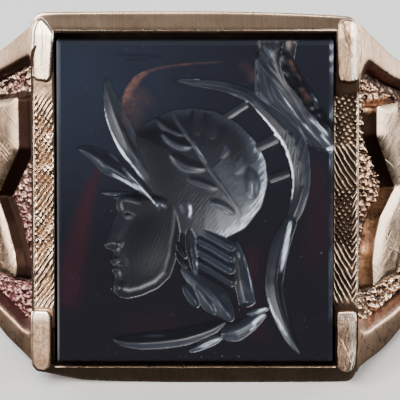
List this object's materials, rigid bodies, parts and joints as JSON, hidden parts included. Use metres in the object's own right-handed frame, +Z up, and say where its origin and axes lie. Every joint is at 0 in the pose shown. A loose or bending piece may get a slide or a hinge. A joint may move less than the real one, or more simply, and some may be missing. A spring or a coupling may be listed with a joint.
{
  "type": "quartz ring",
  "caption": "Heavy gold signet-style ring with an oblong head that frames a dark rectangular quartz intaglio of a helmeted head.",
  "frame": {"origin": "middle of the ring's box at its base, where the ring lies on the surface", "axes": "+X across the finger, +Y from the stone's side towards the back of the shank, +Z up from the surface that the ring lies on"},
  "size_m": [0.0228, 0.0268, 0.0159],
  "materials": {
    "gold": "polished",
    "quartz": "gloss"
  },
  "bodies": {
    "root": {"ring_body": "gold", "quartz_stone": "quartz"}
  },
  "joints": []
}
